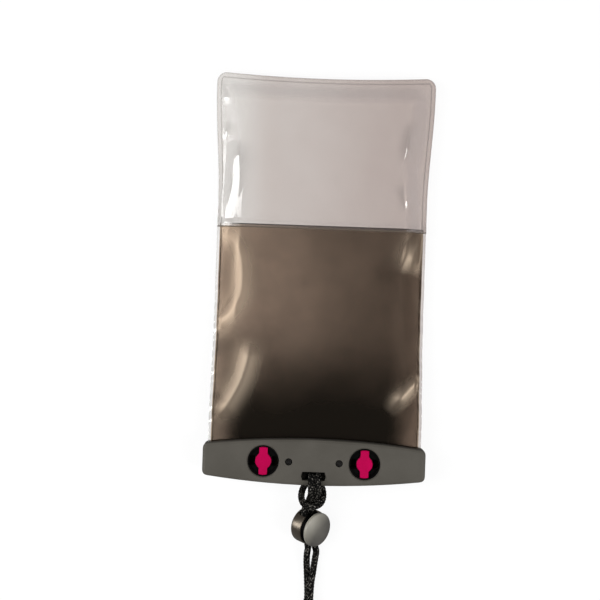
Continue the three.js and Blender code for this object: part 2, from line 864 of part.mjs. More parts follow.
place("front_film", frontFilm(), "clear_film");
place("back_window", backWindow(), "clear_film");
place("back_panel", backPanel(), "smoke_film");
place("clip_back", clipBack(), "clip_plastic");
place("clip_front", clipFront(), "clip_plastic");
for (const [side, x] of Object.entries(lock_places)) {
  place("lock_seat_" + side, lockSeat(), "black_plastic", pouch, x);
  place("lock_tab_" + side, lockTab(), "magenta_plastic", pouch, x);
  place("lever_" + side, lever(Math.sign(x)), "black_plastic", pouch, x);
}
for (const [side, x] of Object.entries(peg_places)) {
  place("peg_" + side, peg(), "black_plastic", pouch, x);
}
const toggle_pieces = {
  toggle_shell: [toggleShell(), "toggle_metal"],
  toggle_sleeve: [toggleSleeve(), "black_plastic"],
  toggle_button: [toggleButton(), "toggle_plastic"],
  toggle_spring: [toggleSpring(), "spring_steel"],
};
for (const [name, [geometry, material]] of Object.entries(toggle_pieces)) {
  place(name, geometry, material, toggle_spinning).position.z = -toggle_length / 2;
}
place("lanyard_hitch", tube(hitchPath(), cord_diameter, 54), "cord");
place("lanyard_strand_left", tube(strandPath(-1, left_route), cord_diameter, 12), "cord");
place("lanyard_strand_right", tube(strandPath(1, right_route), cord_diameter, 12), "cord");
place("lanyard_coil", lanyardCoil(), "cord");

export default root;
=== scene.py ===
import math

import bmesh
import bpy
import numpy as np
from mathutils import Matrix, Vector


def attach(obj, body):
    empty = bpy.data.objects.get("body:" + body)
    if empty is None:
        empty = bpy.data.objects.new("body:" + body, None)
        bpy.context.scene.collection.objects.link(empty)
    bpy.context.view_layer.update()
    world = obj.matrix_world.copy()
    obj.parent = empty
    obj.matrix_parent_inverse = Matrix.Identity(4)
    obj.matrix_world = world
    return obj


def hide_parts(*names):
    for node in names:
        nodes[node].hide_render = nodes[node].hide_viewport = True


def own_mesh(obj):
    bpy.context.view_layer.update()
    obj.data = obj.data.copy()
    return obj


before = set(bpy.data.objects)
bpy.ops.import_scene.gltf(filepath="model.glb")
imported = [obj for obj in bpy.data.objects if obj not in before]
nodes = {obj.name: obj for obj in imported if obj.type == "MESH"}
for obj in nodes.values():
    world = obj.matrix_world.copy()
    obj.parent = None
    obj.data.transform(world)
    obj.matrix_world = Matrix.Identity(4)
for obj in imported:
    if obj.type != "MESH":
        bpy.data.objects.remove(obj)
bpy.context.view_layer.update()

# Everything is drawn in millimetres from the middle of the clip, as the frame's source is.
# place() turns those into the frame's metres.
MM = 0.001
CLIP_Y = -85.175


def place(points):
    """Points in millimetres, Y from the clip's middle, to the frame's metres."""
    moved = np.array(points, float).reshape(-1, 3) + (0, CLIP_Y, 0)
    return moved * MM


def to_frame(mesh):
    """Moves a mesh from millimetres to the frame's metres, as place() moves points."""
    mesh.transform(Matrix.Translation((0, CLIP_Y, 0)))
    mesh.transform(Matrix.Scale(MM, 4))


def link(obj):
    bpy.context.scene.collection.objects.link(obj)
    return obj


def baked(obj):
    """The mesh that an object has with its modifiers applied."""
    bpy.context.view_layer.update()
    graph = bpy.context.evaluated_depsgraph_get()
    return bpy.data.meshes.new_from_object(obj.evaluated_get(graph))


def paint(mesh, material):
    """Gives a mesh one material and no other."""
    mesh.materials.clear()
    mesh.materials.append(material)


def shade_smooth(mesh):
    mesh.polygons.foreach_set("use_smooth", [True] * len(mesh.polygons))


def poly_line(name, points):
    """A curve object along points in metres."""
    curve = bpy.data.curves.new(name, "CURVE")
    curve.dimensions = "3D"
    spline = curve.splines.new("POLY")
    spline.points.add(len(points) - 1)
    spline.points.foreach_set("co", np.c_[points, np.ones(len(points))].ravel())
    return link(bpy.data.objects.new(name, curve))


# Camera, floor and lamps
PIXELS = 600
PIXELS_PER_MM = 2.145
LENS = 85
SENSOR = 36
SHARP_PLANE = 13.0  # mm above the floor, where the photograph's scale was taken
LOOK_AT = (-9.04, 75.07)
CLOCKWISE = math.radians(2.0)

camera = link(bpy.data.objects.new("camera", bpy.data.cameras.new("camera")))
bpy.context.scene.camera = camera
camera.data.lens = LENS
camera.data.sensor_width = SENSOR
frame_width = PIXELS / PIXELS_PER_MM
camera_height = frame_width * LENS / SENSOR + SHARP_PLANE
camera.location = place((*LOOK_AT, camera_height))[0]
camera.rotation_euler = (0, 0, CLOCKWISE)
camera.data.clip_start = 0.01
camera.data.clip_end = 20


def linear(code):
    """An sRGB hex colour as linear red, green, blue and alpha."""
    parts = [int(code[i : i + 2], 16) / 255 for i in (1, 3, 5)]
    return (*[c / 12.92 if c <= 0.04045 else ((c + 0.055) / 1.055) ** 2.4 for c in parts], 1)


MATH = "ShaderNodeMath"
NOISE = "ShaderNodeTexNoise"
RANGE = "ShaderNodeMapRange"
MIX = "ShaderNodeMix"


def add(tree, kind, inputs=None, **settings):
    """A node with its settings; an input takes a value, a node or one of a node's outputs."""
    made = tree.nodes.new(kind)
    for name, value in settings.items():
        setattr(made, name, value)
    for name, value in (inputs or {}).items():
        socket = made.inputs[name]
        if isinstance(value, bpy.types.Node):
            tree.links.new(value.outputs[0], socket)
        elif isinstance(value, bpy.types.NodeSocket):
            tree.links.new(value, socket)
        else:
            socket.default_value = value
    return made


def new_material(name):
    """An empty node material, its tree and its output node."""
    material = bpy.data.materials.new(name)
    material.use_nodes = True
    tree = material.node_tree
    tree.nodes.clear()
    return material, tree, add(tree, "ShaderNodeOutputMaterial")


# The floor and the background are white to the eye and through the film, and dim in mirrored
# views. Part of the floor stays matt, so that it keeps the object's shadow.
FLOOR_GLOW = 0.88
FLOOR_MIRRORED = 0.1
floor_material, tree, output = new_material("white_paper_floor")
path = add(tree, "ShaderNodeLightPath").outputs
seen = add(tree, MATH, {0: path["Is Camera Ray"], 1: path["Is Glossy Ray"]}, operation="MAXIMUM")
seen = add(tree, MATH, {0: seen, 1: path["Is Transmission Ray"]}, operation="MAXIMUM")
share = add(tree, MATH, {0: seen, 1: FLOOR_GLOW}, operation="MULTIPLY")
bright = add(tree, RANGE, {"Value": path["Is Glossy Ray"], "To Min": 1.0, "To Max": FLOOR_MIRRORED})
paper = add(tree, "ShaderNodeBsdfDiffuse", {"Color": linear("#ffffff")})
glow = add(tree, "ShaderNodeEmission", {"Color": linear("#ffffff"), "Strength": bright})
both = add(tree, "ShaderNodeMixShader", {"Fac": share, 1: paper, 2: glow})
tree.links.new(both.outputs[0], output.inputs["Surface"])

FLOOR_HALF = 3.0
FLOOR_DROP = 0.0002
floor_mesh = bpy.data.meshes.new("floor")
floor_corners = [(-FLOOR_HALF, -FLOOR_HALF, 0), (FLOOR_HALF, -FLOOR_HALF, 0)]
floor_corners += [(FLOOR_HALF, FLOOR_HALF, 0), (-FLOOR_HALF, FLOOR_HALF, 0)]
floor_mesh.from_pydata(floor_corners, [], [(0, 1, 2, 3)])
floor_mesh.materials.append(floor_material)
floor = link(bpy.data.objects.new("floor", floor_mesh))
floor.location.z = -FLOOR_DROP

WORLD_LIGHT = 0.3
WORLD_MIRRORED = 0.1
world = bpy.data.worlds.new("white_room")
bpy.context.scene.world = world
world.use_nodes = True
tree = world.node_tree
tree.nodes.clear()
room = add(tree, "ShaderNodeBackground", {"Color": linear("#ffffff"), "Strength": WORLD_LIGHT})
dim = add(tree, "ShaderNodeBackground", {"Color": linear("#ffffff"), "Strength": WORLD_MIRRORED})
white = add(tree, "ShaderNodeBackground", {"Color": linear("#ffffff"), "Strength": 1.0})
path = add(tree, "ShaderNodeLightPath").outputs
around_it = add(tree, "ShaderNodeMixShader", {"Fac": path["Is Glossy Ray"], 1: room, 2: dim})
both = add(tree, "ShaderNodeMixShader", {"Fac": path["Is Camera Ray"], 1: around_it, 2: white})
output = add(tree, "ShaderNodeOutputWorld")
tree.links.new(both.outputs[0], output.inputs["Surface"])


def lamp(name, where, size, watts, mirrored=True):
    """A rectangular soft lamp aimed at the object, which the camera doesn't see."""
    data = bpy.data.lights.new(name, "AREA")
    data.shape = "RECTANGLE"
    data.size, data.size_y = size
    data.energy = watts
    lit = link(bpy.data.objects.new(name, data))
    lit.location = where
    lit.rotation_euler = (LAMP_TARGET - Vector(where)).to_track_quat("-Z", "Y").to_euler()
    lit.visible_camera = False
    lit.visible_glossy = mirrored


# The wide lamps at the sides make the broad lights on the film's folds and on the toggle
LAMP_TARGET = Vector((0, 0, 0))
lamp("left_wide", (-0.5, 0.0, 0.6), (0.36, 0.6), 3.7)
lamp("right_wide", (0.48, -0.22, 0.6), (0.2, 0.5), 2.6)
lamp("low_left", (-0.85, -0.05, 0.17), (0.3, 0.4), 2.0)
lamp("low_right", (0.8, -0.3, 0.3), (0.25, 0.3), 1.2)
lamp("front_soft", (-0.1, -0.75, 0.7), (0.5, 0.3), 1.1, mirrored=False)
lamp("back_soft", (0.1, 0.8, 0.75), (0.6, 0.25), 0.8, mirrored=False)

# The film's form, as the frame's source draws it
CLIP_MID_Z = 11.3
MOUTH_EDGE = 10.75
FILM = 0.5
WELD = 2.0
REACH = 181.1
PUFF = 11.6
FILM_OFFSET = 0.35
END_CORNER = 4.6
LAP_MIDDLE = 109.2
LAP_WIDTH = 1.8
LAP_LIFT = 0.9
LAP_FADE = 2.6
PANEL_INSET = 1.3
TAIL = 3.0  # how far the film runs on past the clip's middle
SIDE_RISE = 9.5
END_RISE = 10.0
MOUTH_RISE = 14.0
DROP_RUN = 72.0
SEAL_ROWS = (4.6, 8.2)
SEAL_HALF_WAVE = 1.2
SEAL_DEPTH = 0.5
END_DIP = 1.6
END_DIP_RUN = 30.0
# Height and length of the rim's waves and puckers, and how far in from the rim each reaches
RIM_WAVE, RIM_WAVE_LENGTH, RIM_WAVE_BAND = 0.7, 20.0, 9.0
PUCKER, PUCKER_LENGTH, PUCKER_BAND = 0.28, 5.3, 5.0
GLOSSY_RIM, GLOSSY_RIM_FADE = 2.4, 1.4
# Height, width of the inward flank, reach of the gloss, and the crest as (x, row) points
FOLDS = [
    (1.8, 4.5, 6.0, [
        (-40.5, 150.0), (-42.0, 136.0), (-43.3, 125.3), (-45.7, 114.7), (-51.0, 104.0),
    ]),
    (0.5, 7.0, 1.4, [(-44.5, 158.0), (-48.0, 148.0)]),
    (0.5, 7.0, 1.4, [(-48.8, 178.0), (-46.0, 165.0)]),
    (0.9, 7.0, 2.6, [(41.5, 162.0), (38.5, 152.0), (37.3, 141.0)]),
    (0.8, 7.0, 2.6, [(36.0, 131.5), (38.0, 126.0), (40.5, 119.0)]),
    (1.15, 7.0, 4.8, [(-49.0, 109.5), (-38.0, 100.0), (-35.9, 88.0), (-36.2, 74.0), (-50.0, 58.0)]),
    (1.4, 7.0, 4.8, [(-30.5, 57.0), (-32.5, 46.0), (-35.0, 36.0), (-40.5, 26.0), (-47.0, 17.0)]),
    (1.8, 4.5, 7.0, [(57.0, 112.0), (46.5, 105.0), (43.2, 99.0), (41.5, 88.0)]),
    (1.8, 7.0, 3.2, [(52.0, 44.0), (43.0, 35.0), (33.5, 24.0)]),
]
OUTWARD_FLANK = 4.0
CREST_ROUND = 0.7
FOLD_TAPER = 10.0
RIPPLE = 0.04


def smooth(share):
    share = np.clip(share, 0, 1)
    return share * share * (3 - 2 * share)


def mixed(a, b, share):
    return a + (b - a) * smooth(share)


def half_width(row):
    to_mouth = mixed(49.2, 49.8, (62 - row) / 50)
    straight = mixed(to_mouth, 51.5, (row - 122) / 52)
    rise = np.clip(row - (REACH - END_CORNER), 0, END_CORNER)
    return straight - END_CORNER + np.sqrt(END_CORNER**2 - rise**2)


def fullness(x, row):
    """How far the film has risen from the welded rim, along a slightly wandering slope."""
    wander = np.sin(row / 8.3 + np.sign(x)) + 0.6 * np.sin(row / 4.1 + 2.0 * np.sign(x))
    wide = SIDE_RISE + 1.2 * np.sin(row / 12.7 + 2.3 * np.sign(x))
    foot = half_width(row) - WELD + 0.5 * smooth(np.abs(x) / 30) * wander
    side = smooth((foot - np.abs(x)) / wide)
    end = smooth((REACH - WELD - row) / END_RISE)
    mouth = smooth((row - MOUTH_EDGE - WELD / 2) / MOUTH_RISE)
    return side * end * mouth


def flange(x, row):
    """Height of the welded rim: the drop from the clip, the seal's waves and the puckers."""
    drop = mixed(CLIP_MID_Z, PUFF / 2, (row - MOUTH_EDGE) / DROP_RUN)
    inside_seal = (row >= SEAL_ROWS[0]) & (row <= SEAL_ROWS[1])
    waves = SEAL_DEPTH * np.sin(math.pi * (row - SEAL_ROWS[0]) / SEAL_HALF_WAVE)
    seal = np.where(inside_seal, waves, 0)
    edge = smooth((np.abs(x) - half_width(row) + RIM_WAVE_BAND) / RIM_WAVE_BAND)
    rise = smooth((row - MOUTH_EDGE) / 8)
    fall = smooth((95 - row) / 15)
    shift = np.where(x > 0, 1.3, 0)
    wave = RIM_WAVE * np.sin(2 * math.pi * row / RIM_WAVE_LENGTH + shift)
    turn = 2 * math.pi * row / PUCKER_LENGTH + 2 * shift + 1.4 * np.sin(row / 7) + 0.8 * np.abs(x)
    pucker = PUCKER * np.sin(turn)
    near_rim = smooth((np.abs(x) - half_width(row) + PUCKER_BAND) / PUCKER_BAND)
    return drop + seal + edge * rise * fall * (wave + near_rim * pucker)


def rounded(points):
    """The points of a line with its corners cut three times."""
    line = np.array(points)
    for _ in range(3):
        near, far = 0.75 * line[:-1] + 0.25 * line[1:], 0.25 * line[:-1] + 0.75 * line[1:]
        middle = np.stack([near, far], 1).reshape(-1, 2)
        line = np.concatenate([line[:1], middle, line[-1:]])
    return line


def to_line(x, row, points):
    """Each place's distance from a line, how far outward of it that is, and the ends' taper."""
    line = rounded(points)
    lengths = np.hypot(*np.diff(line, axis=0).T)
    best, outward, along = np.full(x.shape, np.inf), np.zeros(x.shape), np.zeros(x.shape)
    run = 0.0
    for (ax, ay), (bx, by), length in zip(line[:-1], line[1:], lengths, strict=True):
        dx, dy = bx - ax, by - ay
        share = np.clip(((x - ax) * dx + (row - ay) * dy) / length**2, 0, 1)
        off_x, off_row = x - ax - share * dx, row - ay - share * dy
        away = np.hypot(off_x, off_row)
        outward = np.where(away < best, off_x * np.sign(ax), outward)
        along = np.where(away < best, run + share * length, along)
        best = np.minimum(best, away)
        run += length
    taper = min(FOLD_TAPER, 0.4 * run)
    return best, outward, smooth(along / taper) * smooth((run - along) / taper)


def folds(x, row):
    """Ridges of the film whose steeper flanks face outward."""
    inside = smooth((half_width(row) - WELD - np.abs(x)) / WELD)
    total = np.zeros(x.shape)
    for height, inward_flank, _, points in FOLDS:
        away, outward, ends = to_line(x, row, points)
        steep = smooth(0.5 + outward / 3)
        flank = OUTWARD_FLANK * steep + inward_flank * (1 - steep)
        fall = (np.hypot(away, CREST_ROUND) - CREST_ROUND) / flank
        total += height * ends * np.clip(1 - fall, 0, 1)
    return inside * total


def shine(x, row):
    """How glossy the film is: smooth along the folds and the low rim, duller elsewhere."""
    total = np.zeros(x.shape)
    for _, _, reach, points in FOLDS:
        away, _, ends = to_line(x, row, points)
        total = np.maximum(total, np.exp(-((away / reach) ** 2)) * ends**0.5)
    near_rim = smooth((np.abs(x) - half_width(row) + GLOSSY_RIM) / GLOSSY_RIM_FADE)
    return np.maximum(total, near_rim * smooth((85 - row) / 30))


def ripples(x, row):
    """Slow unevenness that breaks the film's reflections."""
    inside = smooth((half_width(row) - WELD - np.abs(x)) / 6)
    first = np.sin(row / 6.3 + 1.7 * np.sin(x / 9.0) + x / 7.0)
    second = np.sin(row / 3.7 - x / 4.1 + 2.1 * np.sin(row / 17.0))
    return inside * (RIPPLE * first + 0.4 * RIPPLE * second)


def front_surface(x, row):
    low = flange(x, row) - FILM_OFFSET
    return low + (FILM / 2 - low) * fullness(x, row)


def back_surface(x, row):
    low = flange(x, row) + FILM_OFFSET
    return low + (PUFF - FILM / 2 - low) * fullness(x, row) + folds(x, row) + ripples(x, row)


def window_surface(x, row):
    """The back's surface, lifted over the panel where the two sheets lap."""
    past_lap = smooth((row - LAP_MIDDLE - LAP_WIDTH / 2) / LAP_FADE)
    return back_surface(x, row) + LAP_LIFT * (1 - past_lap)


def clear_painted_shade(x, row):
    """Painted shade on the clear film: lightest at the left side, darkest at the right."""
    return smooth((x + 46) / 24) * (0.55 + 0.45 * smooth((x + 20) / 60))


def smoke_painted_shade(x, row):
    """Painted shade on the tinted film: darkest in the middle near the clip, darker toward the
    right, and a painted dark band near the left rim.
    """
    across = smooth((47 - np.abs(x)) / 16)
    down = smooth((70 - row) / 60)
    # painted shade: a dark band near the left rim, between two of the folds' lights
    painted_dark_band = np.exp(-(((row - 54) / 7) ** 2)) * (x < 0)
    side = 0.14 + 0.32 * (1 - down) * smooth((x + 48) / 96) + 0.25 * painted_dark_band * (1 - across)
    return side + 0.3 * down + across * (0.12 + 0.5 * down)


ROW_STEP = 0.7
SEAL_STEPS = 13
CORNER_STEPS = 14
CORNER_GAP = 0.004
ACROSS = 150
NO_LAP = -99.0


def film_sheet(name, first, last, surface, shade, lap_row=NO_LAP, inset=0.0):
    """A closed sheet of film between two rows, with the attributes that its material reads."""
    count = round((last - first) / ROW_STEP)
    rows = first + (last - first) * np.arange(count + 1) / count
    if last > REACH - 1:
        turn = np.linspace(0, math.pi / 2, CORNER_STEPS)[1:]
        corner = REACH - END_CORNER
        round_end = corner + (END_CORNER - CORNER_GAP) * np.sin(turn)
        rows = np.concatenate([rows[rows < corner], round_end])
    if first < SEAL_ROWS[0]:
        rows = np.unique(np.concatenate([rows, np.linspace(*SEAL_ROWS, SEAL_STEPS)]))
    # the steps get shorter toward the sides
    u = np.linspace(-1, 1, ACROSS + 1)
    shares = 0.45 * u + 0.55 * np.sin(u * math.pi / 2)
    row, part = np.meshgrid(rows, shares, indexing="ij")
    x = part * (half_width(row) - inset)
    y = row - END_DIP * (1 - part**2) * smooth((row - REACH) / END_DIP_RUN + 1)
    middle = surface(x, row)
    rim = np.minimum(half_width(row) - np.abs(x), REACH - row)
    top = np.stack([x, y, middle + FILM / 2], -1).reshape(-1, 3)
    under = np.stack([x, y, middle - FILM / 2], -1).reshape(-1, 3)
    n, m = x.shape
    index = np.arange(n * m).reshape(n, m)
    a, b, c, d = index[:-1, :-1], index[:-1, 1:], index[1:, 1:], index[1:, :-1]
    up = np.stack([a, b, c, d], -1).reshape(-1, 4)
    down = up[:, ::-1] + n * m
    faces = [*up.tolist(), *down.tolist()]
    loop = [*index[0, :], *index[1:, -1], *index[-1, -2::-1], *index[-2:0:-1, 0]]
    for p, q in zip(loop, [*loop[1:], loop[0]], strict=True):
        faces.append((int(q), int(p), int(p) + n * m, int(q) + n * m))
    mesh = bpy.data.meshes.new(name)
    mesh.from_pydata(place(np.concatenate([top, under])).tolist(), [], faces)
    kept = {"rim_mm": rim, "lap_mm": np.abs(row - lap_row)}
    # shade is painted shade, which the film's material lays into its tint and haze
    kept |= {"shade": shade(x, row), "shine": shine(x, row)}
    for key, values in kept.items():
        attribute = mesh.attributes.new(key, "FLOAT", "POINT")
        attribute.data.foreach_set("value", np.tile(values.ravel(), 2).astype(np.float32))
    shade_smooth(mesh)
    return link(bpy.data.objects.new(name, mesh))


front = film_sheet("front_film_sheet", -TAIL, REACH, front_surface, clear_painted_shade)
window_low = LAP_MIDDLE - LAP_WIDTH / 2
window = film_sheet(
    "back_window_sheet", window_low, REACH, window_surface, clear_painted_shade, lap_row=window_low
)
panel_high = LAP_MIDDLE + LAP_WIDTH / 2
panel = film_sheet(
    "back_panel_sheet", -TAIL, panel_high, back_surface, smoke_painted_shade, panel_high, PANEL_INSET
)

# The lanyard's line
CORD = 3.0
PITCH = 3.1
FLOOR_GAP = 0.16
TOGGLE_PLACE = (-0.43, -31.0, 9.1033)
TOGGLE_TURNS = (-15, 46, 30)
TOGGLE_HALF = 5.225
CORD_ALONG = 4.5
CORD_SIDE = 2.1
TOGGLE_EXIT = 9.6
lean, tilt, spin = (math.radians(a) for a in TOGGLE_TURNS)
TOGGLE_MATRIX = (
    Matrix.Translation(TOGGLE_PLACE)
    @ Matrix.Rotation(lean, 4, "Z")
    @ Matrix.Rotation(tilt, 4, "Y")
    @ Matrix.Rotation(spin, 4, "Z")
)


def in_toggle(side, along):
    return tuple(TOGGLE_MATRIX @ Vector((side * CORD_SIDE, along, CORD_ALONG - TOGGLE_HALF)))


LEFT_UP = [
    (-2.4, -20.0, 13.1), (-1.5, -17.5, 14.4), (-0.85, -14.8, 17.6), (-0.85, -12.2, 19.8),
    (-0.85, -10.2, 20.1), (-0.85, -8.4, 20.0), (-0.85, -7.0, 19.3), (-0.85, -6.35, 17.4),
    (-0.85, -6.3, 13.2), (-1.3, -6.45, 11.2), (-1.7, -7.3, 9.9), (-2.3, -8.7, 9.5),
    (-3.3, -10.8, 9.5), (-4.6, -13.2, 10.1), (-5.2, -15.6, 12.2), (-5.0, -17.5, 14.7),
    (-4.1, -19.1, 16.5), (-2.4, -20.0, 17.4),
]
RING_FRONT = [(-0.1, -20.3, 17.6)]
RIGHT_DOWN = [
    (2.2, -19.9, 17.0), (3.9, -18.7, 15.8), (4.8, -16.8, 13.6), (4.9, -14.6, 11.3),
    (4.3, -12.4, 9.9), (3.4, -10.4, 9.5), (2.9, -8.7, 9.5), (2.65, -7.3, 9.9),
    (2.25, -6.45, 11.2), (2.22, -6.3, 13.2), (2.2, -6.35, 17.4), (2.2, -7.0, 19.3),
    (2.2, -8.4, 20.0), (2.2, -10.2, 20.1), (2.2, -12.4, 19.4), (2.1, -15.2, 16.4),
    (1.2, -18.2, 13.4), (0.2, -20.0, 12.2),
]
LEFT_STRAND = [
    (-1.55, -44.2, 5.3), (-1.6, -48.6, 3.6), (-1.3, -53.0, 2.4), (-0.95, -58.5, 1.75),
    (-0.7, -63.0, 1.66), (-0.8, -66.8, 1.66), (-2.1, -69.9, 1.66), (-5.0, -72.3, 1.66),
]
RIGHT_STRAND = [
    (2.7, -43.2, 3.6), (2.4, -46.4, 3.2), (2.0, -49.4, 3.35), (1.55, -53.0, 4.25),
    (0.9, -58.0, 4.65), (0.65, -63.0, 4.8), (0.75, -67.2, 4.8), (2.1, -69.9, 4.8),
    (5.0, -72.3, 4.8),
]


COIL_MIDDLE = (0.0, -94.5)
COIL_OUTER = 19.6
COIL_ENTRY = (-13.2, 14.5)
COIL_TURNS = 5.765
COIL_CLIMB = (2.84, 3.0)
COIL_STEPS = 138
CLIMB_INWARD = 1.6
LANE_CHANGE = 0.15


def coil_route():
    """Three turns inward on the floor, a climb, and three turns outward on top of them."""
    enter = math.degrees(math.atan2(COIL_ENTRY[1], COIL_ENTRY[0]))
    climb_low, climb_high = COIL_CLIMB
    points = []
    for t in np.arange(0, COIL_TURNS + 1e-6, COIL_TURNS / COIL_STEPS):
        on_top = smooth((t - climb_low) / (climb_high - climb_low))
        near_end = t if t < (climb_low + climb_high) / 2 else COIL_TURNS - t
        lane = math.floor(near_end) + float(smooth((near_end % 1 - 0.85) / LANE_CHANGE))
        radius = COIL_OUTER - PITCH * min(lane, 2.0)
        radius -= CLIMB_INWARD * math.sin(math.pi * on_top)
        angle = math.radians(enter + 360 * t)
        x = COIL_MIDDLE[0] + radius * math.cos(angle)
        y = COIL_MIDDLE[1] + radius * math.sin(angle)
        points.append((x, y, CORD / 2 + FLOOR_GAP + PITCH * on_top))
    return points


def between(a, b, low, high, t):
    """The point at t on the straight line that is at a for low and at b for high."""
    return a + (b - a) * ((t - low) / (high - low))


def through(points, step=0.3):
    """A smooth line through points, with places a step apart, and its length."""
    p = [np.array(v, float) for v in points]
    p = [2 * p[0] - p[1], *p, 2 * p[-1] - p[-2]]
    fine = []
    for a, b, c, d in zip(p[:-3], p[1:-2], p[2:-1], p[3:], strict=True):
        gaps = [np.linalg.norm(v - u) ** 0.5 for u, v in ((a, b), (b, c), (c, d))]
        k0, k1, k2, k3 = np.cumsum([0, *gaps])
        for t in np.linspace(k1, k2, 24, endpoint=False):
            first, second = between(a, b, k0, k1, t), between(b, c, k1, k2, t)
            third = between(c, d, k2, k3, t)
            left, right = between(first, second, k0, k2, t), between(second, third, k1, k3, t)
            fine.append(between(left, right, k1, k2, t))
    line = np.array([*fine, p[-2]])
    along = np.concatenate([[0], np.cumsum(np.linalg.norm(np.diff(line, axis=0), axis=1))])
    at = np.linspace(0, along[-1], round(along[-1] / step) + 1)
    return np.stack([np.interp(at, along, line[:, k]) for k in range(3)], 1), along[-1]


below = -TOGGLE_EXIT - 0.3
cord_points = [in_toggle(-1, -0.4), in_toggle(-1, -TOGGLE_EXIT), in_toggle(-1, below - 1)]
cord_points += LEFT_STRAND + coil_route() + RIGHT_STRAND[::-1]
cord_points += [in_toggle(1, below - 1), in_toggle(1, -TOGGLE_EXIT), in_toggle(1, 0)]
cord_points += [in_toggle(1, TOGGLE_EXIT)] + RIGHT_DOWN[::-1] + RING_FRONT + LEFT_UP[::-1]
cord_points += [in_toggle(-1, TOGGLE_EXIT), in_toggle(-1, 0.0)]
cord_line, cord_length = through(cord_points)
cord_line_m = place(cord_line)


def braid_tree():
    """A tube along a curve, raised where one strand of the braid crosses over another."""
    tree = bpy.data.node_groups.new("braided_cord", "GeometryNodeTree")
    face = tree.interface
    face.new_socket("Geometry", in_out="INPUT", socket_type="NodeSocketGeometry")
    sizes = [
        ("Cord Radius", "NodeSocketFloat", (CORD / 2 - 0.13) * MM),
        ("Sides", "NodeSocketInt", 32),
        ("Strands Each Way", "NodeSocketFloat", 8.0),
        ("Stitch Length", "NodeSocketFloat", 1.55 * MM),
        ("Relief", "NodeSocketFloat", 0.26 * MM),
    ]
    for name, kind, value in sizes:
        face.new_socket(name, in_out="INPUT", socket_type=kind).default_value = value
    face.new_socket("Material", in_out="INPUT", socket_type="NodeSocketMaterial")
    face.new_socket("Geometry", in_out="OUTPUT", socket_type="NodeSocketGeometry")
    given = add(tree, "NodeGroupInput").outputs
    lengths = add(tree, "GeometryNodeSplineParameter").outputs["Length"]
    kept = add(tree, "GeometryNodeCaptureAttribute", domain="POINT")
    kept.capture_items.new("FLOAT", "Along")
    tree.links.new(given["Geometry"], kept.inputs["Geometry"])
    tree.links.new(lengths, kept.inputs["Along"])
    ring = add(
        tree,
        "GeometryNodeCurvePrimitiveCircle",
        {"Resolution": given["Sides"], "Radius": given["Cord Radius"]},
    )
    shares = add(tree, "GeometryNodeSplineParameter").outputs["Factor"]
    kept_ring = add(tree, "GeometryNodeCaptureAttribute", domain="POINT")
    kept_ring.capture_items.new("FLOAT", "Around")
    tree.links.new(ring.outputs["Curve"], kept_ring.inputs["Geometry"])
    tree.links.new(shares, kept_ring.inputs["Around"])
    tube = add(
        tree,
        "GeometryNodeCurveToMesh",
        {"Curve": kept.outputs["Geometry"], "Profile Curve": kept_ring.outputs["Geometry"]},
    )
    tube.inputs["Fill Caps"].default_value = True
    around = add(
        tree,
        MATH,
        {0: kept_ring.outputs["Around"], 1: given["Strands Each Way"]},
        operation="MULTIPLY",
    )
    along = add(
        tree, MATH, {0: kept.outputs["Along"], 1: given["Stitch Length"]}, operation="DIVIDE"
    )
    waves = []
    for way in ("ADD", "SUBTRACT"):
        both_ways = add(tree, MATH, {0: around, 1: along}, operation=way)
        turn = add(tree, MATH, {0: both_ways, 1: math.pi}, operation="MULTIPLY")
        sine = add(tree, MATH, {0: turn}, operation="SINE")
        wave = add(tree, MATH, {0: sine}, operation="ABSOLUTE")
        waves.append(add(tree, MATH, {0: wave, 1: 0.6}, operation="POWER"))
    bump = add(tree, MATH, {0: waves[0], 1: waves[1]}, operation="MULTIPLY")
    push = add(tree, MATH, {0: bump, 1: given["Relief"]}, operation="MULTIPLY")
    outward = add(tree, "GeometryNodeInputNormal").outputs[0]
    offset = add(tree, "ShaderNodeVectorMath", {0: outward, "Scale": push}, operation="SCALE")
    moved = add(
        tree,
        "GeometryNodeSetPosition",
        {"Geometry": tube.outputs["Mesh"], "Offset": offset.outputs["Vector"]},
    )
    named = add(
        tree,
        "GeometryNodeStoreNamedAttribute",
        {"Geometry": moved.outputs["Geometry"], "Name": "braid_height", "Value": bump},
        data_type="FLOAT",
        domain="POINT",
    )
    softened = add(tree, "GeometryNodeSetShadeSmooth", {"Geometry": named.outputs["Geometry"]})
    real = add(tree, "GeometryNodeRealizeInstances", {"Geometry": softened.outputs["Geometry"]})
    painted = add(
        tree,
        "GeometryNodeSetMaterial",
        {"Geometry": real.outputs["Geometry"], "Material": given["Material"]},
    )
    last = add(tree, "NodeGroupOutput")
    tree.links.new(painted.outputs["Geometry"], last.inputs["Geometry"])
    return tree


def finished(source, tree, values, name):
    """The mesh that a Geometry Nodes tree makes of an object, as a plain new object."""
    modifier = source.modifiers.new("made", "NODES")
    modifier.node_group = tree
    sockets = {i.name: i.identifier for i in tree.interface.items_tree if i.in_out == "INPUT"}
    for key, value in values.items():
        modifier[sockets[key]] = value
    mesh = baked(source)
    source.modifiers.clear()
    bpy.data.objects.remove(source)
    mesh.name = name
    return link(bpy.data.objects.new(name, mesh))


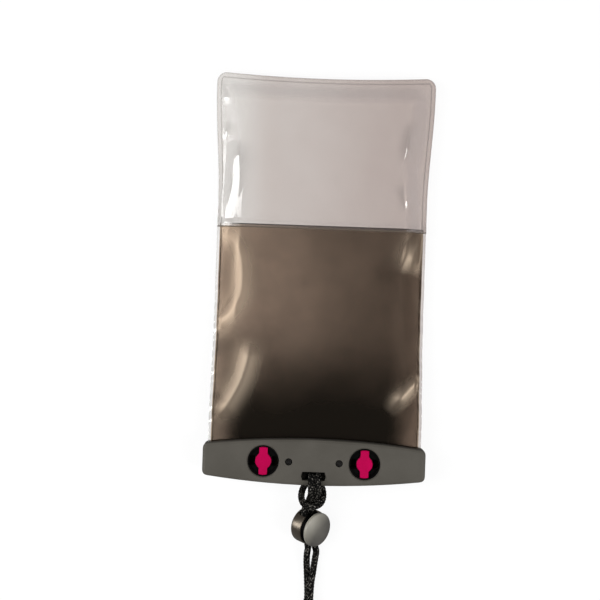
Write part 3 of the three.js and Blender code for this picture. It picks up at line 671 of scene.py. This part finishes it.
# Materials
def surface_material(name, colour, other, rough, grain=(0.35, 0.02), extra=None, mottle=1.0):
    """A moulded or cast surface: mottled colour, changing gloss, a grain of (size, depth) in mm.

    A mesh with a painted light and shade attribute is nearer to the other colour where that is
    high.
    """
    material, tree, output = new_material(name)
    where = add(tree, "ShaderNodeTexCoord").outputs["Object"]
    patches = add(tree, NOISE, {"Vector": where, "Scale": 90.0, "Detail": 3.0})
    grains = add(tree, NOISE, {"Vector": where, "Scale": 1000 / grain[0], "Detail": 2.0})
    spread = {"From Min": 0.32, "From Max": 0.68, "To Max": mottle}
    blend = add(tree, RANGE, {"Value": patches, **spread})
    painted_shading = add(tree, "ShaderNodeAttribute", attribute_name="painted_shading").outputs["Fac"]
    blend = add(tree, MATH, {0: blend, 1: painted_shading}, operation="ADD", use_clamp=True)
    base = add(
        tree, MIX, {0: blend, 6: linear(colour), 7: linear(other)}, data_type="RGBA"
    )
    gloss = add(tree, RANGE, {"Value": patches, "To Min": rough - 0.05, "To Max": rough + 0.05})
    bump = add(
        tree, "ShaderNodeBump", {"Height": grains, "Distance": grain[1] * MM, "Strength": 0.6}
    )
    values = {"Base Color": base.outputs[2], "Roughness": gloss, "Normal": bump, **(extra or {})}
    shader = add(tree, "ShaderNodeBsdfPrincipled", values)
    tree.links.new(shader.outputs[0], output.inputs["Surface"])
    return material


# ABS, moulded against a fine spark-eroded tool: an even dull grey that takes soft highlights
clip_grey = surface_material(
    "grey_abs_moulded", "#4a4741", "#504d47", 0.55, (0.45, 0.03), {"Specular IOR Level": 0.15}
)
# ABS, moulded black, in the deep windows: swallows the light
seat_black = surface_material(
    "black_abs_moulded", "#020202", "#060505", 0.55, extra={"Specular IOR Level": 0.06}
)
# Acetal, moulded black: the pegs' dished ends catch some light
peg_black = surface_material(
    "black_acetal_moulded", "#0b0a09", "#151312", 0.35, extra={"Specular IOR Level": 0.3}
)
# Acetal, moulded through with colour: saturated, slightly waxy
tab_magenta = surface_material(
    "magenta_acetal_moulded", "#ac0046", "#9f003e", 0.4, (0.6, 0.06), {"Specular IOR Level": 0.06}
)
# Zinc casting with black-nickel plating: dark mirror with beige in its lights
toggle_plated = surface_material(
    "black_nickel_plated", "#6a6259", "#7a7166", 0.3, (0.35, 0.004), {"Metallic": 0.9}
)
# ABS, satin: the dull grey face of the button; its paler second colour is painted light, laid
# toward the cap's left and far side
cap_grey = surface_material(
    "satin_abs_cap", "#353332", "#9a968a", 0.35, (0.3, 0.02), {"Specular IOR Level": 0.4}, 0.15
)
# Spring steel wire, cold drawn: bright and smooth
spring_wire = surface_material(
    "spring_steel_drawn", "#9b9c9e", "#a8a9ab", 0.28, (0.35, 0.003), {"Metallic": 1.0}
)


def cord_material():
    """Polyester yarn, braided and dyed black: dull, with paler flecks; the gaps get painted shade,
    and the flecks show only on the raised stitches, as painted light.
    """
    material, tree, output = new_material("black_polyester_braid")
    where = add(tree, "ShaderNodeTexCoord").outputs["Object"]
    crown = add(tree, "ShaderNodeAttribute", attribute_name="braid_height").outputs["Fac"]
    yarn = add(tree, NOISE, {"Vector": where, "Scale": 1250.0, "Detail": 3.0})
    fleck = add(tree, RANGE, {"Value": yarn, "From Min": 0.53, "From Max": 0.62})
    # painted light and shade: the raised stitches are painted lighter than the gaps between them
    lit = add(tree, RANGE, {"Value": crown, "From Min": 0.35, "From Max": 0.9})
    light = add(tree, MATH, {0: fleck, 1: lit}, operation="MULTIPLY")
    base = add(
        tree, MIX, {0: lit, 6: linear("#050505"), 7: linear("#0c0c0b")}, data_type="RGBA"
    )
    flecked = add(tree, MIX, {0: light, 6: base.outputs[2], 7: linear("#85817a")}, data_type="RGBA")
    bump = add(tree, "ShaderNodeBump", {"Height": yarn, "Distance": 0.08 * MM, "Strength": 0.7})
    values = {
        "Base Color": flecked.outputs[2],
        "Roughness": 0.8,
        "Specular IOR Level": 0.05,
        "Normal": bump,
    }
    shader = add(tree, "ShaderNodeBsdfPrincipled", values)
    tree.links.new(shader.outputs[0], output.inputs["Surface"])
    return material


cord_braid = cord_material()


STRAIGHT_ON = 0.04  # the share of light that a film reflects straight on


def film_material(
    name, tints, hazes, haze_share, veil, line, weld_dark, edge_dark, gloss, gain, dull, grazing,
    rough, uneven
):
    """Polyurethane film: see-through with a tint and a little milky.

    tints and hazes colour what is seen through it and its milkiness, where the painted shade
    (shade) is low and high.
    haze_share is how milky it is straight on, and veil adds to that at a slant. line colours the
    dark lines, weld_dark and edge_dark are their strengths. gloss colours the reflections, gain is
    their strength where shine is high, dull their share of that elsewhere, grazing their growth at
    a slant. rough blurs them and uneven bends them.
    """
    material, tree, output = new_material(name)
    where = add(tree, "ShaderNodeTexCoord").outputs["Object"]
    keys = ("rim_mm", "lap_mm", "shade", "shine")
    rim, lap, shade, shine_here = (
        add(tree, "ShaderNodeAttribute", attribute_name=key).outputs["Fac"] for key in keys
    )
    waves = add(tree, NOISE, {"Vector": where, "Scale": 60.0, "Detail": 3.0})
    cloud = add(tree, RANGE, {"Value": waves, "To Min": -0.12, "To Max": 0.12})
    # the painted shade, with some cloudy unevenness
    shaded = add(tree, MATH, {0: shade, 1: cloud}, operation="ADD", use_clamp=True)
    # dark lines: the weld's inner edge, the sheet's rim and its lap edge
    off_weld = add(tree, MATH, {0: rim, 1: WELD}, operation="SUBTRACT")
    off_weld = add(tree, MATH, {0: off_weld}, operation="ABSOLUTE")
    fade = {"To Min": 1.0, "To Max": 0.0}
    weld_line = add(tree, RANGE, {"Value": off_weld, "From Min": 0.12, "From Max": 0.4, **fade})
    weld_line = add(tree, MATH, {0: weld_line, 1: weld_dark}, operation="MULTIPLY")
    outer = add(tree, RANGE, {"Value": rim, "From Min": 0.1, "From Max": 0.7, **fade})
    outer = add(tree, MATH, {0: outer, 1: edge_dark}, operation="MULTIPLY")
    lap_line = add(tree, RANGE, {"Value": lap, "From Min": 0.4, "From Max": 0.55, **fade})
    lap_line = add(tree, MATH, {0: lap_line, 1: 2.0}, operation="MULTIPLY")
    lines = add(tree, MATH, {0: weld_line, 1: outer}, operation="MAXIMUM")
    lines = add(tree, MATH, {0: lines, 1: lap_line}, operation="MAXIMUM")
    lean = add(tree, "ShaderNodeLayerWeight", {"Blend": 0.5}).outputs["Facing"]
    milky = add(tree, MATH, {0: lean, 1: veil, 2: haze_share}, operation="MULTIPLY_ADD")
    milky = add(tree, MATH, {0: lines, 1: 0.45, 2: milky}, operation="MULTIPLY_ADD", use_clamp=True)
    tint = add(
        tree, MIX, {0: shaded, 6: linear(tints[0]), 7: linear(tints[1])}, data_type="RGBA"
    )
    haze = add(
        tree, MIX, {0: shaded, 6: linear(hazes[0]), 7: linear(hazes[1])}, data_type="RGBA"
    )
    body = add(tree, MIX, {0: lines, 6: haze.outputs[2], 7: linear(line)}, data_type="RGBA")
    bump = add(tree, "ShaderNodeBump", {"Height": waves, "Distance": 0.25 * MM, "Strength": uneven})
    clear = add(tree, "ShaderNodeBsdfTransparent", {"Color": tint.outputs[2]})
    matt = {"Roughness": 0.6, "Specular IOR Level": 0.0, "Normal": bump}
    cloudy = add(tree, "ShaderNodeBsdfPrincipled", {"Base Color": body.outputs[2], **matt})
    mirror = add(
        tree, "ShaderNodeBsdfGlossy", {"Color": linear(gloss), "Roughness": rough, "Normal": bump}
    )
    # more is reflected at a slant, the same from both of the film's faces
    slant = add(tree, MATH, {0: lean, 1: 5.0}, operation="POWER")
    here = {"Value": shine_here, "To Min": STRAIGHT_ON * gain * dull, "To Max": STRAIGHT_ON * gain}
    straight_on = add(tree, RANGE, here)
    slant = add(tree, MATH, {0: slant, 1: grazing, 2: straight_on}, operation="MULTIPLY_ADD")
    share = add(tree, MATH, {0: slant, 1: 1.0}, operation="MINIMUM")
    through_it = add(tree, "ShaderNodeMixShader", {"Fac": milky, 1: clear, 2: cloudy})
    whole = add(tree, "ShaderNodeMixShader", {"Fac": share, 1: through_it, 2: mirror})
    tree.links.new(whole.outputs[0], output.inputs["Surface"])
    return material


# Polyurethane film, calendered clear: faintly pink-grey where two layers lie together; its second
# tint and haze are painted shade, which darkens it toward the right
clear_film = film_material(
    "clear_polyurethane_film",
    tints=("#f8f7f6", "#eeeae8"),
    hazes=("#e4e2df", "#c8c0bf"),
    haze_share=0.05,
    veil=0.5,
    line="#5d544b",
    weld_dark=0.45,
    edge_dark=0.3,
    gloss="#ffffff",
    gain=2.0,
    dull=0.06,
    grazing=1.0,
    rough=0.07,
    uneven=0.12,
)
# The same film tinted brown-grey: its lights are broader, softer and beige; its dark second tint
# and haze are painted shade
smoke_film = film_material(
    "smoke_polyurethane_film",
    tints=("#e3d6cb", "#241e1b"),
    hazes=("#75634f", "#0f0c09"),
    haze_share=0.08,
    veil=0.1,
    line="#241c16",
    weld_dark=1.0,
    edge_dark=0.9,
    gloss="#ecd8c0",
    gain=7.5,
    dull=0.05,
    grazing=0.2,
    rough=0.48,
    uneven=0.25,
)

front.data.materials.append(clear_film)
window.data.materials.append(clear_film)
panel.data.materials.append(smoke_film)


def cut(obj, cutter):
    """Takes the cutter's solid out of an object."""
    modifier = obj.modifiers.new("cut", "BOOLEAN")
    modifier.object = cutter
    modifier.operation = "DIFFERENCE"
    modifier.solver = "EXACT"
    mesh = baked(obj)
    obj.modifiers.clear()
    obj.data = mesh


def prism(name, outline, low, high, move=None):
    """A closed prism over an outline in X and Y, between two heights."""
    shape = bmesh.new()
    under = [shape.verts.new((x, y, low)) for x, y in outline]
    over = [shape.verts.new((x, y, high)) for x, y in outline]
    shape.faces.new(under[::-1])
    shape.faces.new(over)
    for i in range(len(outline)):
        j = (i + 1) % len(outline)
        shape.faces.new((under[i], under[j], over[j], over[i]))
    if move is not None:
        shape.transform(move)
    mesh = bpy.data.meshes.new(name)
    shape.to_mesh(mesh)
    shape.free()
    return link(bpy.data.objects.new(name, mesh))


def circle(radius, sides=48, centre=(0.0, 0.0)):
    turns = [2 * math.pi * i / sides for i in range(sides)]
    return [(centre[0] + radius * math.cos(t), centre[1] + radius * math.sin(t)) for t in turns]


# Holes in the films' mouth for the locks' shafts and the pegs
LOCK_X = 23.5
PEG_X = 11.7
SHAFT_HOLE = 4.35
PEG_HOLE = 1.85
HOLE_HEIGHTS = (4.0, 18.0)
for sheet_obj in (front, panel):
    holes = [circle(SHAFT_HOLE, 40, (side * LOCK_X, 0)) for side in (-1, 1)]
    holes += [circle(PEG_HOLE, 24, (side * PEG_X, 0)) for side in (-1, 1)]
    for hole in holes:
        cutter = prism("hole", hole, *HOLE_HEIGHTS)
        to_frame(cutter.data)
        cut(sheet_obj, cutter)
        bpy.data.objects.remove(cutter)


def lathe(name, profile, sides=96):
    """A closed turned shape from a profile of (radius, height) points.

    The profile runs from the axis to the axis, or round and back to its own start.
    """
    shape = bmesh.new()
    closed = profile[0][0] > 0
    rings = []
    for radius, height in profile:
        if radius == 0:
            rings.append([shape.verts.new((0, 0, height))])
        else:
            rings.append([shape.verts.new((x, y, height)) for x, y in circle(radius, sides)])
    pairs = list(zip(rings[:-1], rings[1:], strict=True))
    if closed:
        pairs.append((rings[-1], rings[0]))
    for a, b in pairs:
        for i in range(sides):
            j = (i + 1) % sides
            corners = [a[i % len(a)], a[j % len(a)], b[j % len(b)], b[i % len(b)]]
            unique = list(dict.fromkeys(corners))
            shape.faces.new(unique)
    bmesh.ops.recalc_face_normals(shape, faces=shape.faces)
    mesh = bpy.data.meshes.new(name)
    shape.to_mesh(mesh)
    shape.free()
    return link(bpy.data.objects.new(name, mesh))


def rounded_hole(low, high, half, corner):
    """The outline of a cord hole in X and Z, with rounded corners."""
    points = []
    for cx, cz, start in (
        (half - corner, high - corner, 0),
        (-half + corner, high - corner, 90),
        (-half + corner, low + corner, 180),
        (half - corner, low + corner, 270),
    ):
        for step in range(9):
            turn = math.radians(start + 90 * step / 8)
            points.append((cx + corner * math.cos(turn), cz + corner * math.sin(turn)))
    return points


# The toggle's barrel, liner and button
CORD_HOLE_HALF = 3.85
CORD_HOLE_CORNER = 1.9
CUTTER_REACH = 20


def cord_hole(low, high):
    turn = Matrix.Rotation(math.radians(90), 4, "X")
    outline = rounded_hole(low, high, CORD_HOLE_HALF, CORD_HOLE_CORNER)
    return prism("cord_hole", outline, -CUTTER_REACH, CUTTER_REACH, turn)


def toggle_piece(name, profile, hole, material, edge=0.12):
    """A turned piece of the toggle with its cord hole and eased edges, in its place."""
    made = lathe(name, profile)
    cutter = cord_hole(*hole)
    cut(made, cutter)
    bpy.data.objects.remove(cutter)
    bevel = made.modifiers.new("edge", "BEVEL")
    bevel.width = edge
    bevel.segments = 2
    bevel.limit_method = "ANGLE"
    bevel.angle_limit = math.radians(40)
    mesh = baked(made)
    made.modifiers.clear()
    made.data = mesh
    mesh.transform(Matrix.Translation((0, 0, -TOGGLE_HALF)))
    mesh.transform(TOGGLE_MATRIX)
    to_frame(mesh)
    paint(mesh, material)
    shade_smooth(mesh)
    mesh.set_sharp_from_angle(angle=math.radians(35))
    return made


BARREL = 8.3
BARREL_ROUND = 1.2
BARREL_TOP = 6.6
BARREL_BORE = 7.5
BARREL_FLOOR = 0.6
shoulder = [
    (
        BARREL - BARREL_ROUND + BARREL_ROUND * math.sin(t),
        BARREL_ROUND - BARREL_ROUND * math.cos(t),
    )
    for t in np.linspace(0, math.pi / 2, 7)
]
shell_profile = [(0, 0), *shoulder, (BARREL, BARREL_TOP), (BARREL_BORE, BARREL_TOP)]
shell_profile += [(BARREL_BORE, BARREL_FLOOR), (0, BARREL_FLOOR)]
shell = toggle_piece("toggle_barrel", shell_profile, (1.5, 12.35), toggle_plated)
LINER_OUTER, LINER_INNER = 7.35, 6.5
LINER_LOW, LINER_HIGH = 0.75, 7.6
sleeve_profile = [(LINER_OUTER, LINER_LOW), (LINER_OUTER, LINER_HIGH)]
sleeve_profile += [(LINER_INNER, LINER_HIGH), (LINER_INNER, LINER_LOW)]
sleeve = toggle_piece("toggle_liner", sleeve_profile, (2.2, 6.8), seat_black, 0.08)
PLUNGER = 6.2
PLUNGER_LOW = 2.175
CAP = 8.15
CAP_UNDER = 8.85
CAP_TOP = 10.45
button_profile = [(0, PLUNGER_LOW), (PLUNGER, PLUNGER_LOW), (PLUNGER, CAP_UNDER)]
button_profile += [(7.9, CAP_UNDER), (CAP, 9.1), (CAP, 9.95), (8.0, 10.28), (7.65, CAP_TOP)]
button_profile += [(0, CAP_TOP)]
button = toggle_piece("toggle_plunger", button_profile, (2.775, 7.375), cap_grey, 0.08)
# Painted light and shade on the cap: it is painted lighter toward its left and far side
CAP_PAINTED_SHADING = 0.52
CAP_PAINTED_SHADING_SLOPE = (-0.078, 0.062)
spots = np.empty(3 * len(button.data.vertices))
button.data.vertices.foreach_get("co", spots)
spots = spots.reshape(-1, 3) / MM - (TOGGLE_PLACE[0], TOGGLE_PLACE[1] + CLIP_Y, 0)
painted_shading = button.data.attributes.new("painted_shading", "FLOAT", "POINT")
painted_shadings = CAP_PAINTED_SHADING + CAP_PAINTED_SHADING_SLOPE[0] * spots[:, 0] + CAP_PAINTED_SHADING_SLOPE[1] * spots[:, 1]
painted_shading.data.foreach_set("value", np.clip(painted_shadings, 0, 1))

# The conical spring below the button, drawn at rest; the real one flattens as the button is pressed
SPRING_WIRE = 0.4
SPRING_TURNS = 2.5
SPRING_RADII = (5.2, 3.6)
SPRING_HEIGHTS = (1.1, 1.675)
share = np.linspace(0, 1, 161)
turn = 2 * math.pi * SPRING_TURNS * share
radius = np.interp(share, (0, 1), SPRING_RADII)
height = np.interp(share, (0, 1), SPRING_HEIGHTS) - TOGGLE_HALF
spiral = np.stack([radius * np.cos(turn), radius * np.sin(turn), height], 1)
spiral = place([TOGGLE_MATRIX @ Vector(point) for point in spiral])
line = poly_line("spring_line", spiral)
line.data.bevel_depth = SPRING_WIRE / 2 * MM
line.data.bevel_resolution = 3
line.data.use_fill_caps = True
mesh = baked(line)
bpy.data.objects.remove(line)
mesh.name = "toggle_coil"
paint(mesh, spring_wire)
shade_smooth(mesh)
spring = link(bpy.data.objects.new("toggle_coil", mesh))

# The frame's own rigid nodes get their materials
finishes = {
    "clip_back": clip_grey,
    "clip_front": clip_grey,
    "lock_seat_left": seat_black,
    "lock_seat_right": seat_black,
    "lock_tab_left": tab_magenta,
    "lock_tab_right": tab_magenta,
    "lever_left": seat_black,
    "lever_right": seat_black,
    "peg_left": peg_black,
    "peg_right": peg_black,
}
for name, material in finishes.items():
    paint(nodes[name].data, material)

# The braided cord
cord = finished(
    poly_line("cord_line", cord_line_m), braid_tree(), {"Material": cord_braid}, "lanyard_cord"
)

# What each piece rides on and stands for
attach(front, "pouch")
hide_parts("front_film")
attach(window, "pouch")
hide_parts("back_window")
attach(panel, "pouch")
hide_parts("back_panel")
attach(cord, "pouch")
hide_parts("lanyard_hitch", "lanyard_strand_left", "lanyard_strand_right", "lanyard_coil")
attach(shell, "pouch")
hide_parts("toggle_shell")
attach(sleeve, "pouch")
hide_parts("toggle_sleeve")
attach(button, "button")
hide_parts("toggle_button")
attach(spring, "pouch")
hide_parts("toggle_spring")
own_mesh(spring)

bpy.context.scene.view_settings.view_transform = "Standard"
